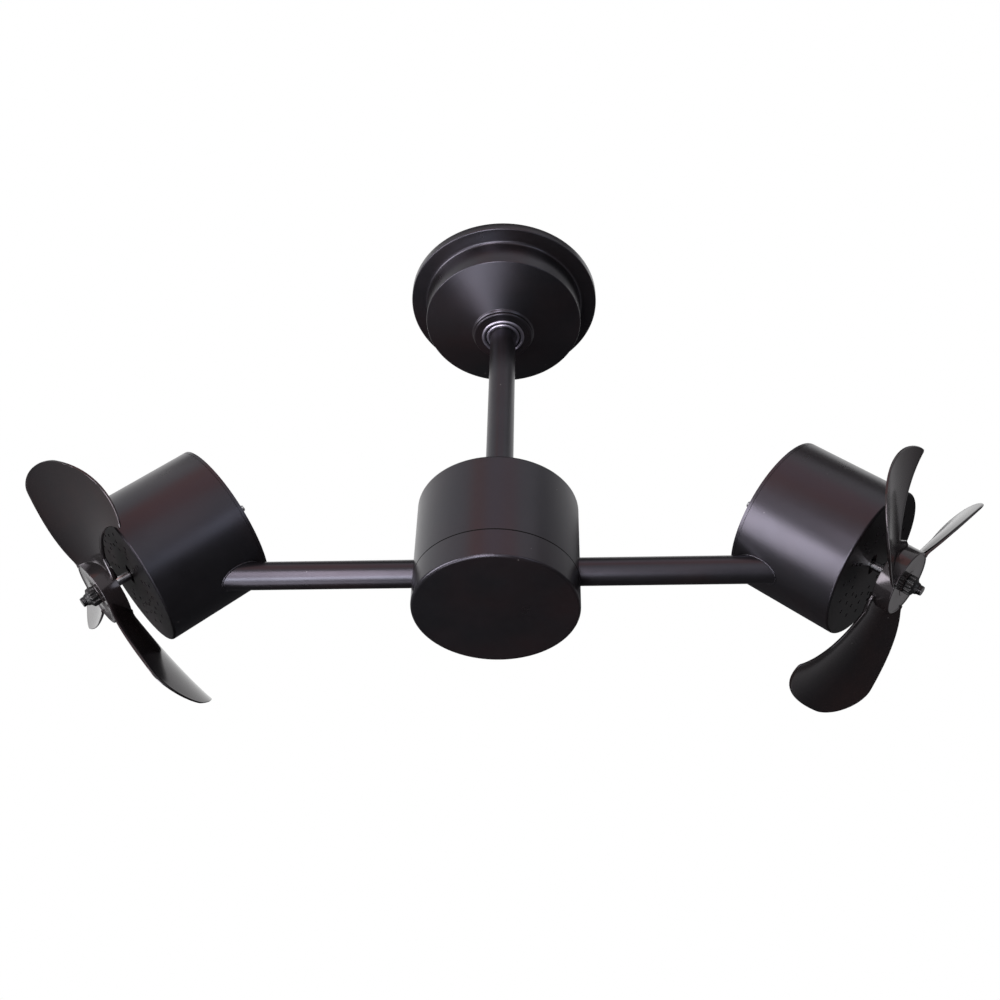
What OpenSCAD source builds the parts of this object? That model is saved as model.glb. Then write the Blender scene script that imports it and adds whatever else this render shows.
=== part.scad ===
// Twin head ceiling fan: two small tilted propeller heads on a turning cross arm under a ceiling canopy.
// Millimetres, +Z up, arms along X. The origin is on the rod axis in the ceiling plane.

/* [Canopy] */
// Diameter of the canopy's foot flange against the ceiling
flange_d = 187; // [180:1:200]
// Height of the foot flange's upright rim
flange_h = 9; // [6:0.5:12]
// Diameter of the canopy's upright wall
canopy_d = 154.4; // [150:0.2:164]
// Depth of the canopy wall's lower corner below the ceiling
canopy_wall_h = 38.5; // [36:0.5:44]
// Depth of the canopy's mouth below the ceiling
canopy_h = 54; // [50:0.5:55]
// Thickness of the pressed canopy sheet
sheet_t = 1.2; // [1:0.1:1.6]

/* [Rod and bearings] */
// Diameter of the downrod
rod_d = 25; // [24:0.5:26]
// Bore of the downrod
rod_bore_d = 20; // [19:0.5:21]
// Depth of the centre housing's top below the ceiling
housing_z = 292.5; // [280:0.5:420]
// Outside diameter of the two rod bearings
bearing_d = 42; // [41:0.5:44]
// Height of the two rod bearings
bearing_h = 9; // [8:0.5:10]

/* [Centre housing] */
// Diameter of the centre housing
housing_d = 140; // [134:1:160]
// Height of the centre housing
housing_h = 109.5; // [106:0.5:125]
// Height of the housing's seam above its bottom
seam_h = 27.7; // [25.5:0.1:29]
// Height of the arm axis above the housing's bottom
arm_h = 40; // [38.5:0.5:42]
// Thickness of the housing shells
shell_t = 1.5; // [1.2:0.1:2]

/* [Arms] */
// Diameter of the arm tubes
arm_d = 24; // [22:0.5:25]
// Bore of the arm tubes
arm_bore_d = 19; // [16:0.5:20]
// Distance from the rod axis to where a drum axis crosses the arm axis
head_reach = 316.5; // [300:0.5:360]
// Half the angle through which an arm turns, set by its collar and stop pin
arm_swing = 90; // [60:5:110]
// Angle from upright at which the left head stands on its arm
left_lean = 0; // [-10:0.1:10]
// Angle from upright at which the right head stands on its arm
right_lean = -3.3; // [-10:0.1:10]

/* [Drums] */
// Angle between a drum axis and the horizontal
head_tilt = 41.6; // [30:0.2:50]
// Distance from the drum's front face to the arm axis, along the drum axis
face_back = 5.7; // [2:0.1:12]
// Diameter of a drum
drum_d = 132.8; // [130:0.2:145]
// Length of a drum with its rear cap
drum_l = 95; // [94:0.5:105]
// Thickness of a drum's wall and front face
drum_t = 2; // [1.6:0.1:2.5]
// Thickness of a drum's rear cap
cap_t = 3; // [2.4:0.1:4]
// Number of spokes of vent holes in a drum's front face
vent_spokes = 16; // [8:2:20]
// Diameter of a vent hole
vent_d = 3.4; // [2.5:0.1:4]

/* [Propellers] */
// Diameter over the blade tips
prop_d = 263; // [240:1:270]
// Number of blades
blade_count = 3; // [2:1:3]
// Thickness of a blade at its middle
blade_t = 2.4; // [1.8:0.1:3]
// Diameter of the propeller hub
hub_d = 57; // [56.5:0.5:58]
// Distance from the drum's front face to the back of the hub
hub_gap = 16.5; // [16:0.5:22]
// Length of the hub
hub_l = 16; // [15.5:0.5:20]
// Diameter of the motor shaft
shaft_d = 8; // [7:0.5:9]

/* [Hidden] */
$fn = 96;
e = 0.01;          // overlap of joined solids and of cutting tools
turn_gap = 0.05;   // radial clearance of turning fits
seat_gap = 0.03;   // radial clearance of fixed fits
axial_gap = 0.2;   // end clearance of turning parts

// Colours
bronze = [0.20, 0.16, 0.16];
glossy = [0.13, 0.11, 0.12];
steel = [0.72, 0.72, 0.74];
zinc = [0.62, 0.63, 0.65];
black = [0.07, 0.07, 0.07];
cream = [0.85, 0.82, 0.72];
copper = [0.72, 0.42, 0.24];
alloy = [0.66, 0.67, 0.69];

// Ceiling side
bracket_t = 3;
bracket_d = 124;
wire_hole_d = 30;
slot_spacing = 89;
slot_l = 12;
slot_w = 5.5;
tube_d = bearing_d + 8;              // bearing housing outside
bush_flange_d = 72;
bush_flange_t = 4;
screw_ring_r = 31;
screw_count = 4;
m5_d = 5;
ring_h = 3;
ring_d = tube_d + 8;
mouth_z = -canopy_h - 2 - ring_h;    // underside of the canopy ring
tube_bottom = mouth_z - 0.3;
upper_bearing_z = -29;
lower_bearing_z = tube_bottom;
ball_r = 3.7;
ball_gap = 0.3;
ball_count = 10;
terminal = [32, 12, 13];
terminal_y = 42;
brush_low = -10.6;                   // underside of the brush holder
brush_w = 18;
brush_pitch = 1.7;
race_gap = 3.5;                      // radial gap between the two races
race_r = (bearing_d + rod_d) / 4;    // radius of the balls' circle

// Rod
rod_r = rod_d / 2;
rod_top = -12;
sleeve_top = -14.5;
clip_t = 1.5;
clip_groove = 1;
collar_r = race_r - race_gap / 2;
plug_l = 10;
ring_drum_r = 8.5;
ring_drum_top = -5;

// Centre housing
top_z = -housing_z;
bottom_z = top_z - housing_h;
arm_z = bottom_z + arm_h;
seam_z = bottom_z + seam_h;
edge_r = 2.5;
notch_gap = 1;
arm_r = arm_d / 2;
collar_h = 8;                        // height of the cap's inner collar
collar_root = 6;                     // depth of the collar's seat in the cap
collar_gap = 0.15;
seam_bevel = 0.45;
hub_plate_r = 26;                    // flange under the housing's top
hub_plate_t = 3;
hub_neck_r = 17;
hub_neck_l = 10;
rod_pin_l = 33;
wire_way_r = 7;
notch_x = 40;                        // where the arm notches start
block_x = 34;
block_y = 22;
block_up = 40;
block_down = 22;
split = 0.35;                        // half the gap between the hub blocks
block_top = arm_z + block_up;
block_bottom = arm_z - block_down;
rod_bottom = arm_z + 19;
rod_pin_d = 5;
flange_pin_z = top_z - 9.5;
block_pin_z = rod_bottom + 9;
pocket_r = 16;
pocket_x = 21.5;
clamp_x = 28;
clamp_y = 17.5;
clamp_depth = 17;                    // reach of the clamp screws above the arm axis
capacitor = [38, 14, 26];
capacitor_drop = 4;
connector = [32, 18, 10];
terminal_d = 4.6;
terminal_pitch = 10;
arm_start = 8;
arm_collar_x = 12;
arm_collar_l = 9;
arm_collar_r = 15.5;
stop_r = 13.4;
stop_pin_d = 4;
stop_half = arm_swing + asin(stop_pin_d / 2 / stop_r);
top_screw_r = 20;
top_screw_count = 3;
m4_d = 4;

// Heads; drawn on the drum axis with the front face at zero and the propeller side up
axis_turn = 90 + head_tilt;
drum_r = drum_d / 2;
cap_z = -drum_l;
cap_inner = cap_z + cap_t;
cap_screw_r = drum_r - 6;
cap_screw_turn = 47;
cap_boss_d = 8.5;
cap_boss_l = 12;
m3_d = 3.4;
shaft_r = shaft_d / 2;
stator_r = 43.5;
stator_front = -31;
stator_l = 30;
stator_back = stator_front - stator_l;
rotor_r = 24.6;
air_gap = 0.4;
bolt_r = 37.5;
bracket_wall = 3.5;
bracket_depth = 15;
boss_r = 10;
bushing_r = 7;
bushing_l = 12;
front_plate = stator_front + bracket_depth;
back_plate = stator_back - bracket_depth;
boss_l = 10;
spacer_r = 4.5;
opening_l = 21;
opening_w = 10.5;
vent_rings = [30, 39, 48];
hub_r = hub_d / 2;
hub_front = hub_gap + hub_l;
hub_wall = 2.6;
nut_r = 10.4;
nut_h = 7;
nut_teeth = 10;
nut_neck_r = 5.6;
nut_neck_l = 3.5;
shaft_end = hub_front + 13.5;
pin_d = 3;
pin_l = 16;

// Turns of the two propellers as they stand
left_turn = -0.8;
right_turn = 65.5;

// Sorts the parts of one side: the left side is the right side turned half way round
module side(s) { rotate([0, 0, s > 0 ? 0 : 180]) children(); }

// Places a part drawn on its drum axis
module head(s) {
  side(s) translate([head_reach, 0, arm_z]) rotate([s > 0 ? right_lean : left_lean, 0, 0])
    rotate([0, axis_turn, 0]) translate([0, 0, -face_back]) children();
}

// Ring between two radii and two heights
module ring(r_out, r_in, z_low, z_high) {
  translate([0, 0, z_low]) difference() {
    cylinder(r = r_out, h = z_high - z_low);
    translate([0, 0, -e]) cylinder(r = r_in, h = z_high - z_low + 2 * e);
  }
}

// Round bar between two heights
module bar(r, z_low, z_high) { translate([0, 0, z_low]) cylinder(r = r, h = z_high - z_low); }

// Copies a part round the axis
module around(count, start = 0) {
  for (i = [0 : count - 1]) rotate([0, 0, start + i * 360 / count]) children();
}

// Block given by its corners
module block(low, high) { translate(low) cube(high - low); }

// Shell profile with a rounded outer edge at its closed end, drawn with the closed end up
module cup(r, h, t, edge) {
  rotate_extrude() difference() {
    union() {
      square([r - edge, h]);
      square([r, h - edge]);
      translate([r - edge, h - edge]) circle(r = edge, $fn = 48);
    }
    translate([-e, -e]) union() {
      square([r - t - (edge - t) + e, h - t + e]);
      square([r - t + e, h - edge + e]);
      translate([r - edge + e, h - edge + e]) circle(r = edge - t, $fn = 48);
    }
    translate([-2 * r, -h]) square([2 * r, 3 * h]);
  }
}

// ---------------------------------------------------------------- ceiling side

module slot(spacing) {
  for (s = [-1, 1]) translate([s * spacing / 2, 0, 0]) {
    for (k = [-1, 1]) translate([k * (slot_l - slot_w) / 2, 0, -bracket_t - e])
      cylinder(d = slot_w, h = bracket_t + 2 * e);
    translate([-(slot_l - slot_w) / 2, -slot_w / 2, -bracket_t - e])
      cube([slot_l - slot_w, slot_w, bracket_t + 2 * e]);
  }
}

module ceiling_bracket() color(zinc) difference() {
  bar(bracket_d / 2, -bracket_t, 0);
  bar(wire_hole_d / 2, -bracket_t - e, e);
  slot(slot_spacing);
  around(screw_count, 45) translate([screw_ring_r, 0, 0])
    bar(m5_d / 2 + seat_gap, -bracket_t - e, e);
}

module bracket_screws() color(steel) around(screw_count, 45) translate([screw_ring_r, 0, 0]) {
  bar(m5_d / 2, -bracket_t - bush_flange_t - e, -0.2);
  difference() {
    bar(m5_d * 0.85, -bracket_t - bush_flange_t - 3, -bracket_t - bush_flange_t);
    translate([0, 0, -bracket_t - bush_flange_t - 3 - e]) cylinder(d = m5_d * 0.6, h = 2);
  }
}

module bearing_housing() color(bronze) difference() {
  union() {
    bar(bush_flange_d / 2, -bracket_t - bush_flange_t, -bracket_t);
    bar(tube_d / 2, tube_bottom, -bracket_t - e);
  }
  bar(bearing_d / 2 + seat_gap, upper_bearing_z, 1);
  bar(bearing_d / 2 + seat_gap, tube_bottom - 1, lower_bearing_z + bearing_h);
  bar(bearing_d / 2 - 3, tube_bottom, 0);
  around(screw_count, 45) translate([screw_ring_r, 0, 0])
    bar(m5_d / 2 + seat_gap, -bracket_t - bush_flange_t - e, 1);
}

// Ball track cut into both races
module track(z) {
  translate([0, 0, z + bearing_h / 2]) rotate_extrude()
    translate([race_r, 0]) circle(r = ball_r + ball_gap, $fn = 48);
}

module bearing_outer_rings() color(steel) for (z = [upper_bearing_z, lower_bearing_z])
  difference() {
    ring(bearing_d / 2, race_r + race_gap / 2, z, z + bearing_h);
    track(z);
  }

module bearing_inner_rings() color(steel) for (z = [upper_bearing_z, lower_bearing_z])
  difference() {
    ring(collar_r, rod_r + seat_gap, z, z + bearing_h);
    track(z);
  }

module bearing_balls() color(steel) for (z = [upper_bearing_z, lower_bearing_z])
  translate([0, 0, z + bearing_h / 2]) {
    around(ball_count) translate([race_r, 0, 0]) sphere(r = ball_r, $fn = 48);
    ring(race_r + 0.6, race_r - 0.6, -1, 1);
  }

module mouth_seal() color(black)
  ring(race_r + race_gap / 2 - seat_gap, collar_r + ball_gap,
       lower_bearing_z + 0.3, lower_bearing_z + 0.7);

module canopy() color(bronze) {
  rf = flange_d / 2;
  rw = canopy_d / 2;
  rn = ring_d / 2 + 1;
  rm = tube_d / 2 + 0.4;
  c = 1;
  t = sheet_t;
  rotate_extrude() polygon([
    [rf, 0], [rf, -flange_h + c], [rf - c, -flange_h], [rw, -flange_h],
    [rw, -canopy_wall_h + c], [rw - c, -canopy_wall_h], [rn, -canopy_h], [rm, -canopy_h],
    [rm, -canopy_h + t], [rn - t / 2, -canopy_h + t],
    [rw - c - t / 2, -canopy_wall_h + t], [rw - t, -canopy_wall_h + c + t / 2],
    [rw - t, -flange_h + t], [rf - c - t / 2, -flange_h + t], [rf - t, -flange_h + c + t / 2],
    [rf - t, 0]
  ]);
  translate([0, 0, -canopy_h - 0.5]) rotate_extrude() translate([rn - 1.2, 0])
    circle(r = 1.5, $fn = 48);
}

module canopy_ring() color(bronze) translate([0, 0, mouth_z]) rotate_extrude() union() {
  translate([tube_d / 2 + seat_gap, 0]) square([ring_d / 2 - ring_h / 2 - tube_d / 2, ring_h]);
  translate([ring_d / 2 - ring_h / 2, ring_h / 2]) circle(r = ring_h / 2, $fn = 48);
}

module brush_holder() color(black) difference() {
  intersection() {
    ring(bearing_d / 2 - 1, ring_drum_r + 2, brush_low, -bracket_t);
    block([0, -brush_w / 2, 2 * brush_low], [bearing_d, brush_w / 2, 0]);
  }
  for (i = [0 : 2]) translate([0, 0, brush_low + 1.2 + i * brush_pitch]) rotate([0, 90, 0])
    cylinder(d = 1.2, h = bearing_d);
}

module terminal_block() color(cream) difference() {
  translate([-terminal.x / 2, terminal_y, -bracket_t - terminal.z]) cube(terminal);
  for (i = [-1 : 1]) translate([i * terminal_pitch, terminal_y - 1, -bracket_t - terminal.z / 2])
    rotate([-90, 0, 0]) cylinder(d = terminal_d, h = terminal.y + 2);
}

// ---------------------------------------------------------------- turning with the rod

module downrod() color(bronze) difference() {
  ring(rod_r, rod_bore_d / 2, rod_bottom, rod_top);
  ring(rod_r + 1, rod_r - clip_groove, sleeve_top, sleeve_top + clip_t);
  for (z = [flange_pin_z, block_pin_z]) translate([0, 0, z]) rotate([90, 0, 0])
    cylinder(d = rod_pin_d + 2 * seat_gap, h = rod_d + 2, center = true);
}

module rod_sleeve() color(zinc)
  ring(collar_r, rod_r + seat_gap, upper_bearing_z + bearing_h, sleeve_top);

module rod_clip() color(steel) difference() {
  ring(collar_r, rod_r - clip_groove + seat_gap, sleeve_top, sleeve_top + clip_t);
  block([-3, 0, -20], [3, 30, 0]);
}

module slip_ring() color(copper) {
  bar(rod_bore_d / 2 - seat_gap, rod_top - plug_l, rod_top);
  difference() {
    bar(ring_drum_r, rod_top - e, ring_drum_top);
    for (i = [0 : 3]) ring(ring_drum_r + 1, ring_drum_r - 0.8,
      rod_top + 1.1 + i * brush_pitch, rod_top + 1.5 + i * brush_pitch);
  }
}

module housing_flange() color(alloy) difference() {
  union() {
    bar(hub_plate_r, top_z - shell_t - hub_plate_t, top_z - shell_t);
    bar(hub_neck_r, top_z - shell_t - hub_plate_t - hub_neck_l, top_z - shell_t - hub_plate_t + e);
  }
  bar(rod_r + seat_gap, top_z - housing_d, top_z);
  translate([0, 0, flange_pin_z]) rotate([90, 0, 0])
    cylinder(d = rod_pin_d + 2 * seat_gap, h = housing_d, center = true);
  around(top_screw_count, 30) translate([top_screw_r, 0, 0])
    bar(m4_d / 2 + seat_gap, top_z - 20, top_z);
}

module rod_pins() color(steel) {
  translate([0, 0, flange_pin_z]) rotate([90, 0, 0])
    cylinder(d = rod_pin_d, h = rod_pin_l, center = true);
  translate([0, 0, block_pin_z]) rotate([90, 0, 0])
    cylinder(d = rod_pin_d, h = 2 * block_y - 1, center = true);
}

// Clearance round both arms where they leave the housing
module arm_notch(low) {
  for (s = [-1, 1]) translate([0, 0, arm_z]) {
    rotate([0, s * 90, 0]) cylinder(r = arm_r + notch_gap, h = housing_d);
    block([s > 0 ? notch_x : -housing_d, -arm_r - notch_gap, low - arm_z],
          [s > 0 ? housing_d : -notch_x, arm_r + notch_gap, 0]);
  }
}

// Bevel cut round the upper side of the housing's seam; mirrored for the lower side
module seam_cut() rotate_extrude() translate([housing_d / 2 - seam_bevel, 0])
  polygon([[-1, -1], [seam_bevel + 1, -1], [seam_bevel + 1, seam_bevel + 1]]);

module housing_top() color(bronze) difference() {
  translate([0, 0, seam_z]) cup(housing_d / 2, top_z - seam_z, shell_t, edge_r);
  translate([0, 0, seam_z]) seam_cut();
  bar(rod_r + 0.4, top_z - 10, top_z + 1);
  arm_notch(seam_z - 1);
  around(top_screw_count, 30) translate([top_screw_r, 0, 0])
    bar(m4_d / 2 + 0.2, top_z - 10, top_z + 1);
}

module housing_top_screws() color(steel) around(top_screw_count, 30)
  translate([top_screw_r, 0, top_z]) {
    bar(m4_d / 2, -shell_t - 5, e);
    difference() {
      cylinder(r1 = m4_d, r2 = m4_d * 0.75, h = 2.2);
      for (a = [0, 90]) rotate([0, 0, a]) block([-2.2, -0.4, 1.2], [2.2, 0.4, 3]);
    }
  }

module housing_cap() color(bronze) difference() {
  union() {
    translate([0, 0, seam_z]) mirror([0, 0, 1]) cup(housing_d / 2, seam_h, shell_t, edge_r);
    difference() {
      union() {
        ring(housing_d / 2 - shell_t + e, housing_d / 2 - 2 * shell_t, seam_z - collar_root, seam_z);
        ring(housing_d / 2 - shell_t - collar_gap, housing_d / 2 - 2 * shell_t, seam_z - e,
             seam_z + collar_h);
      }
      block([-housing_d, -arm_r - 3, arm_z - arm_r - notch_gap],
            [housing_d, arm_r + 3, arm_z + housing_d]);
    }
  }
  translate([0, 0, seam_z]) mirror([0, 0, 1]) seam_cut();
  translate([0, 0, arm_z]) rotate([0, 90, 0])
    cylinder(r = arm_r + notch_gap, h = 2 * housing_d, center = true);
}

module clamp_holes(r, low, high) {
  for (x = [-clamp_x, clamp_x], y = [-clamp_y, clamp_y]) translate([x, y, 0]) bar(r, low, high);
}

// Bores that hold the two arms and their collars
module arm_bores() {
  translate([0, 0, arm_z]) rotate([0, 90, 0]) {
    cylinder(r = arm_r + turn_gap, h = 4 * block_x, center = true);
    cylinder(r = pocket_r, h = 2 * pocket_x, center = true);
  }
}

module hub_block_upper() color(alloy) difference() {
  block([-block_x, -block_y, arm_z + split], [block_x, block_y, block_top]);
  arm_bores();
  bar(rod_r + seat_gap, rod_bottom - 0.2, block_top + 1);
  bar(wire_way_r, arm_z, block_top);
  translate([0, 0, block_pin_z]) rotate([90, 0, 0])
    cylinder(d = rod_pin_d + 2 * seat_gap, h = 3 * block_y, center = true);
  clamp_holes(m5_d / 2 + seat_gap, arm_z - 1, arm_z + clamp_depth + 1);
}

module hub_block_lower() color(alloy) difference() {
  block([-block_x, -block_y, block_bottom], [block_x, block_y, arm_z - split]);
  arm_bores();
  clamp_holes(m5_d / 2 + seat_gap, block_bottom - 1, arm_z);
  for (s = [-1, 1]) translate([s * (arm_collar_x + arm_collar_l / 2), 0, 0])
    bar(stop_pin_d / 2 + seat_gap, block_bottom - 1, arm_z);
}

module clamp_screws() color(steel) difference() {
  union() {
    clamp_holes(m5_d / 2, block_bottom - e, arm_z + clamp_depth);
    clamp_holes(m5_d * 0.85, block_bottom - m5_d, block_bottom);
  }
  clamp_holes(m5_d * 0.4, block_bottom - m5_d - e, block_bottom - m5_d / 2);
}

module stop_pins() color(steel) for (s = [-1, 1])
  translate([s * (arm_collar_x + arm_collar_l / 2), 0, 0])
    bar(stop_pin_d / 2, block_bottom, arm_z - stop_r - 0.4);

module run_capacitors() color(black) for (s = [-1, 1])
  translate([-capacitor.x / 2, s * (block_y + capacitor.y / 2) - capacitor.y / 2,
             block_top - capacitor_drop - capacitor.z]) cube(capacitor);

module connector_block() color(cream) difference() {
  translate([-connector.x / 2, -connector.y / 2, block_bottom - connector.z]) cube(connector);
  for (i = [-1 : 1]) translate([i * terminal_pitch, 0, block_bottom - connector.z / 2])
    rotate([90, 0, 0]) cylinder(d = terminal_d, h = 2 * connector.y, center = true);
}

// ---------------------------------------------------------------- arms and drums

module arm(s) color(bronze) difference() {
  side(s) translate([arm_start, 0, arm_z]) rotate([0, 90, 0]) difference() {
    cylinder(r = arm_r, h = head_reach - arm_start);
    translate([0, 0, -e]) cylinder(r = arm_bore_d / 2, h = head_reach);
  }
  head(s) bar(drum_r, 2 * cap_z, drum_l);
}

module arm_collar(s) color(zinc)
  side(s) translate([arm_collar_x, 0, arm_z]) rotate([0, 90, 0]) difference() {
    ring(arm_collar_r, arm_r + seat_gap, 0, arm_collar_l);
    rotate([0, 0, -stop_half]) translate([0, 0, -1])
      rotate_extrude(angle = 2 * stop_half) translate([stop_r, 0]) square([10, arm_collar_l + 2]);
  }

module drum(s) color(bronze) head(s) difference() {
  union() {
    translate([0, 0, cap_inner]) cup(drum_r, -cap_inner, drum_t, drum_t);
    around(4, cap_screw_turn) translate([cap_screw_r, 0, 0]) intersection() {
      bar(cap_boss_d / 2, cap_inner, cap_inner + cap_boss_l);
      translate([-cap_screw_r, 0, 0]) bar(drum_r - e, cap_inner, 0);
    }
  }
  around(4, cap_screw_turn) translate([cap_screw_r, 0, 0])
    bar(m3_d / 2 + seat_gap, cap_inner - 1, cap_inner + cap_boss_l - 1);
  around(vent_spokes, 90 / vent_spokes) for (r = vent_rings)
    translate([r, 0, -drum_t - 1]) cylinder(d = vent_d, h = drum_t + 2, $fn = 24);
  for (y = [-1, 1]) translate([0, y * (opening_l - opening_w) / 2, 0])
    bar(opening_w / 2, -drum_t - 1, 1);
  block([-opening_w / 2, -(opening_l - opening_w) / 2, -drum_t - 1],
        [opening_w / 2, (opening_l - opening_w) / 2, 1]);
  translate([0, 0, face_back]) rotate([0, -axis_turn, 0]) rotate([0, -90, 0])
    translate([0, 0, drum_r]) cylinder(r = arm_bore_d / 2 - 1.5, h = head_reach - drum_r);
}

module rear_cap(s) color(bronze) head(s) difference() {
  union() {
    bar(drum_r, cap_z, cap_inner - 0.3);
    bar(drum_r - 0.8, cap_inner - 0.4, cap_inner);
  }
  around(4, cap_screw_turn) translate([cap_screw_r, 0, 0])
    bar(m3_d / 2 + seat_gap, cap_z - 1, cap_inner + 1);
  around(4) translate([bolt_r, 0, 0]) bar(m4_d / 2 + seat_gap, cap_z - 1, cap_inner + 1);
}

module cap_screws(s) color(steel) head(s) around(4, cap_screw_turn)
  translate([cap_screw_r, 0, 0]) {
    bar(m3_d / 2, cap_z - e, cap_inner + cap_boss_l - 2);
    difference() {
      translate([0, 0, cap_z - 2.8]) cylinder(r1 = 2.4, r2 = 3.6, h = 2.8);
      for (a = [0, 90]) rotate([0, 0, a])
        block([-2, -0.4, cap_z - 4], [2, 0.4, cap_z - 1.6]);
    }
  }

module motor_bolts(s) color(steel) head(s) around(4) translate([bolt_r, 0, 0]) {
  bar(m4_d / 2, cap_z - e, front_plate + bracket_wall + 4);
  bar(m4_d * 0.9, cap_z - 2.6, cap_z);
  ring(m4_d * 0.9, m4_d / 2 - e, front_plate + bracket_wall, front_plate + bracket_wall + 3);
}

// Motor end bracket drawn with its rim at zero and its boss up
module end_bracket() difference() {
  union() {
    ring(stator_r, stator_r - bracket_wall, 0, bracket_depth + e);
    bar(stator_r, bracket_depth, bracket_depth + bracket_wall);
    bar(boss_r, bracket_depth - 2, bracket_depth + boss_l);
    around(4) translate([bolt_r, 0, 0]) bar(spacer_r, bracket_depth - 4, bracket_depth + e);
  }
  bar(bushing_r + seat_gap, bracket_depth + boss_l - bushing_l, bracket_depth + boss_l + 1);
  bar(shaft_r + 1, 0, 40);
  around(4) translate([bolt_r, 0, 0]) bar(m4_d / 2 + seat_gap, -1, 40);
  around(4, 45) translate([24, 0, 0]) bar(6, 1, 40);
}

module front_bracket(s) color(alloy) head(s) translate([0, 0, stator_front]) end_bracket();

module rear_bracket(s) color(alloy) head(s) {
  translate([0, 0, stator_back]) mirror([0, 0, 1]) end_bracket();
  around(4) translate([bolt_r, 0, 0])
    ring(spacer_r, m4_d / 2 + seat_gap, cap_inner, back_plate - bracket_wall + e);
}

module bushings(s) color(copper) head(s) {
  ring(bushing_r, shaft_r + turn_gap, front_plate + boss_l - bushing_l, front_plate + boss_l);
  ring(bushing_r, shaft_r + turn_gap, back_plate - boss_l, back_plate - boss_l + bushing_l);
}

module stator(s) color(zinc) head(s) difference() {
  ring(stator_r, rotor_r + air_gap, stator_back, stator_front);
  around(4) translate([bolt_r, 0, 0]) bar(m4_d / 2 + seat_gap, stator_back - 1, stator_front + 1);
}

module windings(s) color(copper) head(s) for (z = [stator_front, stator_back - 9])
  translate([0, 0, z]) rotate_extrude() union() {
    translate([27, 0]) square([7.5, 6.5]);
    translate([29.5, 0]) square([2.5, 9]);
    for (r = [29.5, 32]) translate([r, 6.5]) intersection() {
      circle(r = 2.5, $fn = 48);
      translate([-3, -1]) square([6, 4]);
    }
  }

// ---------------------------------------------------------------- propellers

module shaft(s) color(steel) head(s) difference() {
  bar(shaft_r, back_plate - boss_l - 1, shaft_end);
  translate([0, 0, hub_gap + 4]) rotate([90, 0, 0])
    cylinder(d = pin_d + 2 * seat_gap, h = 20, center = true);
}

module rotor(s) color(zinc) head(s) difference() {
  union() {
    bar(rotor_r, stator_back, stator_front);
    bar(rotor_r - 2, stator_back - 4, stator_front + 4);
    bar(6.5, back_plate - boss_l + bushing_l + axial_gap,
        front_plate + boss_l - bushing_l - axial_gap);
  }
  bar(shaft_r + seat_gap, -100, 0);
}

module drive_pin(s) color(steel) head(s) translate([0, 0, hub_gap + 4]) rotate([90, 0, 0])
  cylinder(d = pin_d, h = pin_l, center = true);

// Blade surface. The angle runs round the hub from the blade's own zero line.
function ease(x) = let (u = min(max(x, 0), 1)) u * u * (3 - 2 * u);
function roundoff(t, from, p) = t <= from ? 1 : pow(1 - pow((t - from) / (1 - from), p), 1 / p);
tip_angle = -16.5;
root_r = 27;
tip_r = prop_d / 2;
function radius_of(t) = root_r + t * (tip_r - root_r);
function lead(t) = let (v = 23.4 - 38.1 * t + 12.0 * t * t)
  tip_angle + (v - tip_angle) * roundoff(t, 0.735, 1.93);
function trail(t) = let (v = -40.3 + 19.4 * t - 44.0 * t * t
    - 25.9 * (1 - ease((radius_of(t) - 30.4) / 8.5)))
  tip_angle + (v - tip_angle) * roundoff(t, 0.816, 1.2);
function camber(r, angle) = let (s = (r - root_r) / 100, x = (angle + 18) / 10)
  19.6 + (1.72 + 4.02 * s + 5.91 * s * s) * x + (0.273 + 1.92 * s) * x * x
  - 0.05 * (r - root_r);

stations = 18;
chord_n = 9;
function blade_t_at(u, t) = 0.35 + (blade_t / 2 - 0.35) * (1 - 0.35 * t) * (1 - pow(2 * u - 1, 4));
function blade_point(t, u, up) = let (a = trail(t) + u * (lead(t) - trail(t)), r = radius_of(t))
  [r * cos(a), r * sin(a), camber(r, a) + up * blade_t_at(u, t)];
function blade_loop(t) = [
  for (i = [0 : chord_n - 1]) blade_point(t, i / (chord_n - 1), -1),
  for (i = [chord_n - 1 : -1 : 0]) blade_point(t, i / (chord_n - 1), 1)
];

module blade() {
  m = 2 * chord_n;
  points = [for (k = [0 : stations]) each blade_loop(sin(89 * k / stations))];
  side_faces = [for (k = [0 : stations - 1], i = [0 : m - 1]) each [
    [k * m + i, (k + 1) * m + i, (k + 1) * m + (i + 1) % m],
    [k * m + i, (k + 1) * m + (i + 1) % m, k * m + (i + 1) % m]
  ]];
  end_faces = [for (k = [0, stations], i = [0 : chord_n - 2]) each (k == 0 ? [
    [i, i + 1, m - 1 - i], [i + 1, m - 2 - i, m - 1 - i]] : [
    [k * m + i + 1, k * m + i, k * m + m - 1 - i],
    [k * m + m - 2 - i, k * m + i + 1, k * m + m - 1 - i]])
  ];
  polyhedron(points = points, faces = concat(side_faces, end_faces), convexity = 6);
}

module hub() difference() {
  union() {
    ring(hub_r, hub_r - hub_wall, hub_gap, hub_front);
    bar(hub_r - e, hub_front - 3, hub_front);
    bar(9, hub_gap + 1, hub_front - 1);
    for (i = [0 : blade_count - 1]) rotate([0, 0, i * 360 / blade_count + 60])
      block([8, -0.9, hub_gap + 2], [hub_r - 1, 0.9, hub_front - 1]);
  }
  bar(shaft_r + seat_gap, 0, hub_front + 1);
  block([-10, -pin_d / 2 - seat_gap, hub_gap], [10, pin_d / 2 + seat_gap, hub_gap + 5.55]);
}

module propeller(s, turn) color(glossy) head(s) rotate([0, 0, turn]) union() {
  rotate([0, 0, -turn]) rotate([0, 0, 90]) hub();
  around(blade_count) blade();
}

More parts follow.
